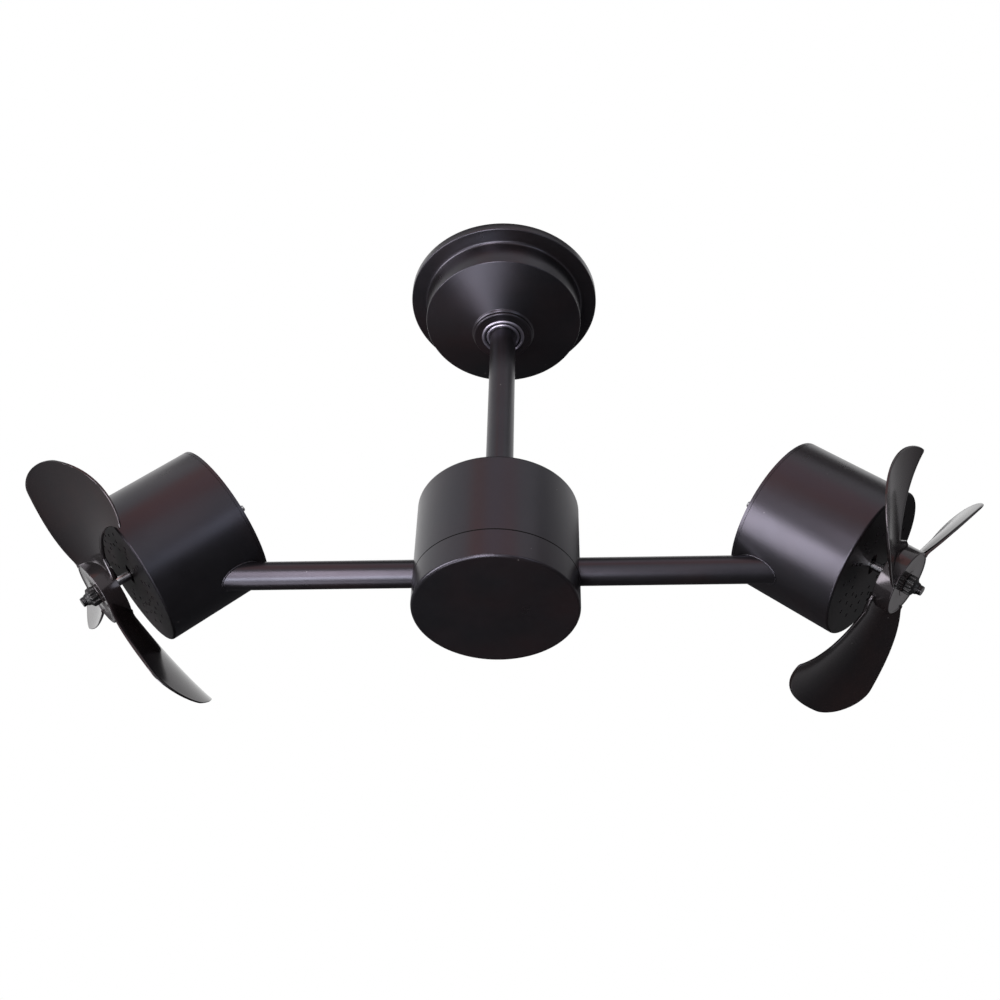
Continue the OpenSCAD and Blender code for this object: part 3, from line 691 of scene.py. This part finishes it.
def blade_form(stations, chord, thickness):
    """One blade on the hub's axis: a swept, twisted and cupped sheet with round edges."""
    row = 2 * chord

    def at(t, share, side):
        """A point at a share of the chord, on the back (-1) or the front (1)."""
        a0, a1 = trail_angle(t), lead_angle(t)
        angle = a0 + share * (a1 - a0)
        r = ROOT_R + t * (TIP_R - ROOT_R)
        edge = min(share, 1 - share) * abs(a1 - a0) * math.pi / 180 * r
        # Thinner towards the tip, with round edges, a raised lip along them and a thick root
        half = thickness / MM / 2 * (1 - 0.48 * t)
        fat = half * math.sqrt(max(0.0, 1 - (1 - min(edge / half, 1)) ** 2))
        fat *= 1 + 0.22 * math.exp(-((edge - 1.3) / 0.8) ** 2)
        fat += 1.5 * math.exp(-((r - 28.4) / 1.3) ** 2) if r > 28.4 else 1.5
        a = math.radians(angle)
        return Vector((r * math.cos(a), r * math.sin(a), camber(r, angle) + side * fat)) * MM

    shares = [(1 - math.cos(math.pi * i / (chord - 1))) / 2 for i in range(chord)]
    points = []
    for k in range(stations):
        t = math.sin(math.radians(89.3) * k / (stations - 1))
        points += [at(t, u, -1) for u in shares] + [at(t, u, 1) for u in reversed(shares)]
    faces = quads(stations, row, loop=False)
    for k in (0, stations - 1):
        for i in range(chord - 1):
            faces.append((k * row + i, k * row + i + 1, k * row + row - 2 - i,
                          k * row + row - 1 - i))
    return points, faces


def hub_form():
    """The hub: a shallow cup with its flat face outwards, a bored boss and thin ribs inside."""
    r, inner, boss = HUB_R, HUB_R - 2.6 * MM, 9 * MM
    back, front = HUB_BACK, HUB_FRONT
    dish, floor = front - 0.35 * MM, front - 3 * MM
    shell = lathe(fillet([
        (BORE_R, front, 0), (11.4 * MM, front, 0.2 * MM), (11.8 * MM, dish, 0.2 * MM),
        (r - 2.2 * MM, dish, 0.2 * MM), (r - 1.8 * MM, front, 0.2 * MM), (r, front, 0.7 * MM),
        (r, back, 0.5 * MM), (inner, back, 0.5 * MM), (inner, floor, 1.5 * MM),
        (boss, floor, 1.2 * MM), (boss, back + 1 * MM, 0.5 * MM), (BORE_R, back + 1 * MM, 0)]), 128)
    ribs = []
    for k in range(6):
        turn = Matrix.Rotation(math.radians(60 * k + 30), 4, "Z")
        low = Vector((8.6 * MM, -0.8 * MM, back + 2.5 * MM))
        high = Vector((r - 2 * MM, 0.8 * MM, front - 2.4 * MM))
        corners = [Vector((x, y * (0.75 if z == low.z else 1), z))
                   for x in (low.x, high.x) for y in (low.y, high.y) for z in (low.z, high.z)]
        sides = [(0, 1, 3, 2), (4, 6, 7, 5), (0, 4, 5, 1), (2, 3, 7, 6), (0, 2, 6, 4), (1, 5, 7, 3)]
        ribs.append(moved((corners, sides), turn))
    return joined([shell, *ribs])


def nut_form(teeth):
    """A clamp nut: ribbed grip, round shoulder and a short neck."""
    bore = BORE_R / MM
    # Height and radius in millimetres, and how much of the dips between the ribs is cut there
    rows = [(0.0, 7.9, 0.0), (0.4, 8.3, 0.2), (1.0, 8.5, 1.0), (5.2, 8.4, 1.0),
            (6.1, 8.0, 0.85), (6.7, 6.9, 0.3), (7.0, 6.1, 0.0), (7.6, 5.4, 0.0),
            (9.4, 4.9, 0.0), (9.9, 4.55, 0.0), (9.9, bore, 0.0), (0.0, bore, 0.0)]
    steps = teeth * 16
    points = []
    for k in range(steps):
        a = 2 * math.pi * k / steps
        wave = math.cos(teeth * a)
        dip = 1.45 * (0.5 - 0.5 * math.copysign(abs(wave) ** 0.55, wave))
        for z, r, share in rows:
            rr = (r - dip * share) * MM
            points.append(Vector((rr * math.cos(a), rr * math.sin(a), HUB_FRONT + z * MM)))
    return points, quads(steps, len(rows))


def thread_form(start, end, radius, pitch):
    """A helical ridge round a shaft between two heights."""
    turns = (end - start) / pitch
    steps = int(turns * 36)
    path = []
    for k in range(steps + 1):
        a = 2 * math.pi * turns * k / steps
        path.append(Vector((radius * math.cos(a), radius * math.sin(a),
                            start + (end - start) * k / steps)))

    def ridge(i):
        """Radius of the ridge, which runs out at both ends."""
        return 0.32 * pitch * min(1, i / 12, (steps - i) / 12) + 0.02 * MM

    return tube(path, ridge, sides=6, closed=False)


def arm_end_curve(name, out):
    """The saddle line where an arm tube runs into its drum, a little out from the tube."""
    steps = 96
    c, s = math.cos(HEAD_TILT), math.sin(HEAD_TILT)
    line = []
    for k in range(steps):
        a = 2 * math.pi * k / steps
        y, z = (ARM_R + out) * math.cos(a), (ARM_R + out) * math.sin(a)
        x = (-math.sqrt(DRUM_R ** 2 - y * y) - c * z) / s
        line.append(arm_matrix(name) @ Vector((x, y, z)))
    return line


# ------------------------------------------------------------------ operators


class FAN_OT_paint(bpy.types.Operator):
    """Paints the canopy parts, rod, centre housing, arms and drums"""
    bl_idname = "fan.paint"
    bl_label = "Paint the body"

    def execute(self, context):
        dress(satin_paint(), "bearing_housing", "canopy_ring", "downrod", "housing_top",
              "housing_cap", *both("arm", "rear_cap"))
        for name in SIDES:
            dress(satin_paint(name), f"{name}_drum")
        return {"FINISHED"}


class FAN_OT_canopy(bpy.types.Operator):
    """Presses the canopy with its round corners and rolled mouth"""
    bl_idname = "fan.canopy"
    bl_label = "Canopy"

    def execute(self, context):
        r = context.scene.fan_detail.corner
        t = 1.2 * MM
        _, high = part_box("canopy")
        rim, top = high.x, high.z
        wall, shelf, corner, mouth = 77.2 * MM, -9 * MM, -38.5 * MM, -54 * MM
        neck, bore = 30 * MM, 25.4 * MM
        shell = lathe(fillet([
            (rim, top, 0.3 * MM), (rim, shelf, r), (wall, shelf, 3.4 * MM), (wall, corner, r),
            (neck + 0.6 * MM, mouth + 0.3 * MM, 1.2 * MM),
            (neck + 0.2 * MM, mouth - 0.7 * MM, 0.5 * MM),
            (neck - 0.9 * MM, mouth - 2 * MM, 0.9 * MM), (bore, mouth - 1.6 * MM, 0.3 * MM),
            (bore, mouth + t, 0.3 * MM), (neck, mouth + t, 0.8 * MM), (wall - t, corner + t, r),
            (wall - t, shelf + t, 3.4 * MM), (rim - t, shelf + t, r), (rim - t, top, 0.3 * MM)]),
            192)
        make_piece("canopy_shell", *shell, satin_paint(), "canopy_mount", "body_paint",
                   ["canopy"], crease=50)
        return {"FINISHED"}


class FAN_OT_bearings(bpy.types.Operator):
    """Finishes the bearings with their lips and seal, the sleeve, the slip ring and the brushes"""
    bl_idname = "fan.bearings"
    bl_label = "Bearings"

    def execute(self, context):
        dress(bright_steel(), "bearing_outer_rings", "bearing_inner_rings", "bearing_balls",
              "rod_clip")
        dress(black_rubber(), "mouth_seal")
        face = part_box("bearing_outer_rings")[0].z
        for name, body, middle, half, depth in (
                # name, body, middle radius, half width and depth
                ("bearing_outer_lip", "canopy_mount", 19.3 * MM, 1.7 * MM, 1.5 * MM),
                ("bearing_inner_lip", "turning_frame", 14.7 * MM, 1.7 * MM, 1.3 * MM)):
            arc = [math.pi * k / 14 for k in range(15)]
            profile = [(middle + half * math.cos(a), face - depth * math.sin(a)) for a in arc]
            make_piece(name, *lathe(profile, 160), satin_steel(), body, "steel", crease=60)
        dress(zinc_plate(), "rod_sleeve")
        dress(copper_wire(), "slip_ring")
        dress(black_moulding(), "brush_holder")
        return {"FINISHED"}


class FAN_OT_ceiling_parts(bpy.types.Operator):
    """Finishes the bracket, its screws and the terminal block"""
    bl_idname = "fan.ceiling_parts"
    bl_label = "Ceiling parts"

    def execute(self, context):
        dress(zinc_plate(), "ceiling_bracket")
        dress(bright_steel(), "bracket_screws")
        dress(cream_moulding(), "terminal_block")
        return {"FINISHED"}


class FAN_OT_housing_parts(bpy.types.Operator):
    """Finishes the parts inside the centre housing and lays a dull black ring in its seam, which
    darkens the seam's line
    """
    bl_idname = "fan.housing_parts"
    bl_label = "Housing parts"

    def execute(self, context):
        dress(cast_alloy(), "housing_flange", "hub_block_upper", "hub_block_lower")
        dress(bright_steel(), "rod_pins", "housing_top_screws", "clamp_screws", "stop_pins")
        dress(black_moulding(), "run_capacitors")
        dress(cream_moulding(), "connector_block")
        dress(zinc_plate(), *both("arm_collar"))
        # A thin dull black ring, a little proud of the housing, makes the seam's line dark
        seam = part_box("housing_cap")[0].z + SEAM_RISE
        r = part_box("housing_top")[1].x - 0.2 * MM
        bulge, half = 0.3 * MM, 0.8 * MM
        circle = [2 * math.pi * k / 12 for k in range(12)]
        profile = [(r + bulge * math.cos(a), seam + half * math.sin(a)) for a in circle]
        make_piece("seam_gasket", *lathe(profile, 160), black_rubber(), "turning_frame",
                   "black_plastic", crease=80)
        return {"FINISHED"}


class FAN_OT_motors(bpy.types.Operator):
    """Finishes the motors and their fixings inside the drums"""
    bl_idname = "fan.motors"
    bl_label = "Motors"

    def execute(self, context):
        dress(cast_alloy(), *both("front_bracket", "rear_bracket"))
        dress(zinc_plate(), *both("stator", "rotor"))
        dress(copper_wire(), *both("windings", "bushings"))
        dress(bright_steel(), *both("cap_screws", "motor_bolts", "drive_pin"))
        for name in SIDES:
            dress(bright_steel(name), f"{name}_shaft")
        return {"FINISHED"}


class FAN_OT_propellers(bpy.types.Operator):
    """Moulds both propellers: hub, ribs and three swept blades"""
    bl_idname = "fan.propellers"
    bl_label = "Propellers"

    def execute(self, context):
        b = context.scene.fan_blades
        blade = blade_form(b.stations, b.chord, b.thickness)
        hub = hub_form()
        for name in SIDES:
            turns = [PROP_TURN[name] + k * 2 * math.pi / BLADES for k in range(BLADES)]
            blades = [moved(blade, Matrix.Rotation(turn, 4, "Z")) for turn in turns]
            form = moved(joined([hub, *blades]), head_matrix(name))
            make_piece(f"{name}_propeller_moulding", *form, gloss_moulding(), f"{name}_spinner",
                       "propeller_gloss", [f"{name}_propeller"], crease=40)
        return {"FINISHED"}


class FAN_OT_clamp_nuts(bpy.types.Operator):
    """Makes the ribbed clamp nuts on the shaft ends"""
    bl_idname = "fan.clamp_nuts"
    bl_label = "Clamp nuts"

    def execute(self, context):
        form = nut_form(context.scene.fan_detail.nut_teeth)
        for name in SIDES:
            make_piece(f"{name}_ribbed_nut", *moved(form, head_matrix(name)), black_moulding(),
                       f"{name}_spinner", "nut_black", [f"{name}_clamp_nut"], crease=50)
        return {"FINISHED"}


class FAN_OT_shaft_threads(bpy.types.Operator):
    """Cuts the thread on the shaft ends that stand out of the nuts"""
    bl_idname = "fan.shaft_threads"
    bl_label = "Shaft threads"

    def execute(self, context):
        pitch = context.scene.fan_metal.thread_pitch
        form = thread_form(HUB_FRONT + 9.5 * MM, HUB_FRONT + 13 * MM, SHAFT_R, pitch)
        for name in SIDES:
            make_piece(f"{name}_shaft_thread", *moved(form, head_matrix(name)), bright_steel(name),
                       f"{name}_spinner", "steel", crease=60)
        return {"FINISHED"}


class FAN_OT_welds(bpy.types.Operator):
    """Lays the painted weld bead where each arm runs into its drum"""
    bl_idname = "fan.welds"
    bl_label = "Weld beads"

    def execute(self, context):
        r = context.scene.fan_detail.weld

        def bead(i):
            """Radius of the bead, uneven as it is laid."""
            return r * (1 + 0.12 * math.sin(i * 1.9) + 0.08 * math.sin(i * 0.7))

        for name in SIDES:
            form = tube(arm_end_curve(name, out=r * 0.25), bead)
            make_piece(f"{name}_weld_bead", *form, satin_paint(), f"{name}_head", "body_paint",
                       crease=80)
        return {"FINISHED"}


# Fitted to the photograph's frame: yaw, pitch and roll in degrees
CAMERA_PLACE = (0.054908, -0.856324, -1.066053)
CAMERA_TURN = (-3.583, 42.525, 1.518)
CAMERA_LENS = 47.594

# The stage is set out round the fan's middle: bearings run from the front towards the right
# and rises from the level upwards, both in degrees
FAN_MIDDLE = Vector((0, 0, -0.33))
FLOOR_HALF = 7
SCREEN_REACH = 2.25
# Distance of the warm sheets in front, whose glow is a painted reflection
WARM_REFLECTION_REACH = 2.2
SOFTBOXES = (
    # name, bearing, rise, distance, (width, height), tint
    ("key", -67, -21, 2.2, (1.6, 0.95), (1.04, 1.01, 1.05)),
    ("strip", -16, -33, 2.2, (0.52, 1.9), (1.1, 1.0, 1.05)),
    ("low", -33, -62, 2.1, (0.8, 0.6), (0.96, 1.0, 1.05)),
    ("wash", -112, -67, 2.0, (1.1, 0.6), (1.04, 1.01, 1.05)),
    ("fill", 41, -18, 2.2, (1.0, 1.2), (0.92, 1.0, 1.1)),
)


def screen_top(bearing):
    """Rise of the dark screen's top: low in front, high on the right, lower again behind."""
    return (-40 + 70 * ease((bearing - 12) / 36) + 12 * ease((bearing - 45) / 20)
            - 12 * ease((bearing - 165) / 25) - 9 * ease((bearing - 200) / 15))


def lid_edge(bearing):
    """Rise of the dark lid's edge, which comes lower on the right."""
    return 56 - 6 * ease((bearing - 45) / 25)


def around_fan(bearing, rise, distance):
    """A place on the stage, at its bearing, rise and distance from the fan's middle."""
    b, r = math.radians(bearing), math.radians(rise)
    way = Vector((math.sin(b) * math.cos(r), -math.cos(b) * math.cos(r), math.sin(r)))
    return FAN_MIDDLE + distance * way


class FAN_OT_stage(bpy.types.Operator):
    """Sets the camera, the pale floor, the white surroundings and the soft lights"""
    bl_idname = "fan.stage"
    bl_label = "Stage"

    def execute(self, context):
        context.scene.view_settings.view_transform = "Standard"
        settings = context.scene.fan_stage
        self.set_camera(context.scene)
        self.light_room(context.scene, settings)
        self.lay_floor(settings)
        self.hang_screens(settings)
        for name, bearing, rise, distance, size, tint in SOFTBOXES:
            power = getattr(settings, name)
            self.softbox(name, power, around_fan(bearing, rise, distance), size, tint)
        return {"FINISHED"}

    def set_camera(self, scene):
        """The camera, from its place, yaw, pitch and roll."""
        camera = bpy.data.objects.new("fan_camera", bpy.data.cameras.new("fan_camera"))
        camera.data.sensor_width = 36
        camera.data.lens = CAMERA_LENS
        camera.data.clip_start = 0.05
        camera.data.clip_end = 60
        yaw, pitch, roll = (math.radians(a) for a in CAMERA_TURN)
        ahead = Vector((math.sin(yaw) * math.cos(pitch), math.cos(yaw) * math.cos(pitch),
                        math.sin(pitch)))
        right = Vector((math.cos(yaw), -math.sin(yaw), 0))
        up = right.cross(ahead)
        right, up = (math.cos(roll) * right + math.sin(roll) * up,
                     math.cos(roll) * up - math.sin(roll) * right)
        turn = Matrix((right, up, -ahead)).transposed().to_4x4()
        camera.matrix_world = Matrix.Translation(CAMERA_PLACE) @ turn
        scene.collection.objects.link(camera)
        scene.camera = camera

    def light_room(self, scene, settings):
        """A world that is white where it is seen, and a weak soft light elsewhere."""
        world = bpy.data.worlds.new("white_room")
        world.use_nodes = True
        s = Shader(world.node_tree)
        s.nodes.clear()
        seen = s.seen()
        dim = s.add("ShaderNodeBackground")
        s.feed(dim, Color=(1, 1, 1, 1), Strength=settings.sky)
        white = s.add("ShaderNodeBackground")
        s.feed(white, Color=(1, 1, 1, 1), Strength=1.0)
        pick = s.add("ShaderNodeMixShader")
        s.tree.links.new(seen, pick.inputs[0])
        s.tree.links.new(dim.outputs[0], pick.inputs[1])
        s.tree.links.new(white.outputs[0], pick.inputs[2])
        s.tree.links.new(pick.outputs[0], s.add("ShaderNodeOutputWorld").inputs[0])
        scene.world = world

    def lay_floor(self, settings):
        """A pale floor that glows a little where it is seen, and keeps the fan's shadow."""
        half, z = FLOOR_HALF, settings.floor_z
        mesh = bpy.data.meshes.new("pale_floor")
        mesh.from_pydata([(-half, -half, z), (half, -half, z), (half, half, z), (-half, half, z)],
                         [], [(0, 1, 2, 3)])
        floor = bpy.data.objects.new("pale_floor", mesh)
        bpy.context.scene.collection.objects.link(floor)
        material, s, shader = new_material("floor_card")
        s.feed(shader, Base_Color=(*settings.floor, 1), Roughness=0.9,
               Emission_Color=(1, 1, 1, 1), Emission_Strength=s.math("MULTIPLY", s.seen(), 0.7))
        mesh.materials.append(material)

    def hang_screens(self, settings):
        """The dark screen and lid, and three warm sheets in front, which all glow and show only in
        the fan's reflections: painted shade and painted warm reflections.
        """
        dark, warm = settings.screen, settings.banner
        white, pale = (1, 0.98, 1), (1.0, 0.84, 0.92)
        # Dim glowing screen and lid, lighter in places, seen only in reflections: painted shade and
        # painted lighter reflections on the fan
        cloth = self.cloth("dark_cloth", 1.0, dark, white, [
            ("X", -1.2, -1.8, 0.27), ("X", 1.0, 1.55, 0.3, "Z", -1.5, 0)])
        self.screen("dark_screen", cloth, SCREEN_REACH, 12, 268, -89, screen_top)
        cloth = self.cloth("dark_lid_cloth", 1.0, dark, white, [("Z", 1.2, 1.9, 0.15)])
        self.screen("dark_lid", cloth, SCREEN_REACH, -100, 105, 90, lid_edge)
        # Warm glowing sheets in front, seen only in reflections: a painted red-brown reflection on
        # the paint
        red_cloth = self.cloth("red_cloth", 1.2, warm)
        pale_cloth = self.cloth("pale_cloth", 1.15, warm, pale, [("Z", 0.5, 0.85, 1.0)])
        rose_cloth = self.cloth("rose_cloth", 1.2, warm, pale, [("Z", 0.7, 1.1, 0.65)])
        for name, cloth, start, end, low, top in (
                # name, cloth, first and last bearing, lower and upper rise
                ("left_banner", red_cloth, -34, -14, 8, 46),
                ("middle_banner", pale_cloth, -14, 10, 13, 44),
                ("right_banner", rose_cloth, 10, 28, 8, 46)):
            self.screen(name, cloth, WARM_REFLECTION_REACH, start, end, low, lambda bearing: top)

    def screen(self, name, cloth, distance, start, end, low, top_of):
        """A round screen that the fan mirrors, and that stays out of the picture: it shows only in
        reflections, where its own glow is a painted reflection.
        """
        mesh = bpy.data.meshes.new(name)
        rises, bearings = 21, 57
        points = []
        for k in range(rises):
            for i in range(bearings):
                bearing = start + (end - start) * i / (bearings - 1)
                rise = low + (top_of(bearing) - low) * k / (rises - 1)
                points.append(around_fan(bearing, rise, distance))
        mesh.from_pydata(points, [], quads(rises, bearings, loop=False, ring=False))
        screen = bpy.data.objects.new(name, mesh)
        bpy.context.scene.collection.objects.link(screen)
        for kind in ("camera", "diffuse", "transmission", "shadow"):
            setattr(screen, f"visible_{kind}", False)
        mesh.materials.append(cloth)

    def cloth(self, name, strength, colour, second=None, fades=()):
        """A glow in one colour, which fades into a second one along the named axes, for sheets seen
        only in reflections: painted reflections.

        A fade gives its axis, where it starts and ends and how far it goes, and sometimes a
        second axis, with its own start and end, that it is held to.
        """
        material, s, shader = new_material(name)
        glow = (*colour, 1)
        if fades:
            place = s.add("ShaderNodeSeparateXYZ")
            s.feed(place, Vector=s.add("ShaderNodeTexCoord").outputs["Object"])
            share = 0.0
            for axis, start, end, amount, *held in fades:
                fade = s.math("MULTIPLY", s.ramp(place.outputs[axis], start, end), amount)
                if held:
                    fade = s.math("MULTIPLY", fade, s.ramp(place.outputs[held[0]], *held[1:]))
                share = s.math("ADD", fade, share)
            glow = s.mix(share, colour, second)
        s.feed(shader, Base_Color=(0, 0, 0, 1), Roughness=0.95, Specular_IOR_Level=0.0,
               Emission_Color=glow, Emission_Strength=strength)
        return material

    def softbox(self, name, power, place, size, tint):
        """A soft box that lights the fan and stays out of the picture."""
        light = bpy.data.lights.new(f"{name}_softbox", "AREA")
        light.shape = "RECTANGLE"
        light.size, light.size_y = size
        light.energy = power
        light.color = tint
        lamp = bpy.data.objects.new(f"{name}_softbox", light)
        lamp.location = place
        lamp.rotation_mode = "QUATERNION"
        lamp.rotation_quaternion = (FAN_MIDDLE - place).to_track_quat("-Z", "Y")
        lamp.visible_camera = False
        bpy.context.scene.collection.objects.link(lamp)


class FAN_PT_panel(bpy.types.Panel):
    """Lists the fan's sizes, colours and building steps"""
    bl_idname = "FAN_PT_panel"
    bl_label = "Twin head ceiling fan"
    bl_space_type = "VIEW_3D"
    bl_region_type = "UI"
    bl_category = "Fan"

    def draw(self, context):
        for key, kind in SETTINGS.items():
            box = self.layout.box()
            settings = getattr(context.scene, key)
            for prop in kind.__annotations__:
                box.prop(settings, prop)
        for operator in OPERATORS:
            self.layout.operator(operator.bl_idname)


OPERATORS = (
    FAN_OT_stage,
    FAN_OT_paint,
    FAN_OT_canopy,
    FAN_OT_bearings,
    FAN_OT_ceiling_parts,
    FAN_OT_housing_parts,
    FAN_OT_motors,
    FAN_OT_propellers,
    FAN_OT_clamp_nuts,
    FAN_OT_shaft_threads,
    FAN_OT_welds,
)


def register():
    for kind in (*SETTINGS.values(), *OPERATORS, FAN_PT_panel):
        bpy.utils.register_class(kind)
    for key, kind in SETTINGS.items():
        setattr(bpy.types.Scene, key, PointerProperty(type=kind))


def unregister():
    for key in SETTINGS:
        delattr(bpy.types.Scene, key)
    for kind in reversed((*SETTINGS.values(), *OPERATORS, FAN_PT_panel)):
        bpy.utils.unregister_class(kind)


def main():
    register()
    for operator in OPERATORS:
        module, name = operator.bl_idname.split(".")
        getattr(getattr(bpy.ops, module), name)()


if __name__ == "__main__":
    main()
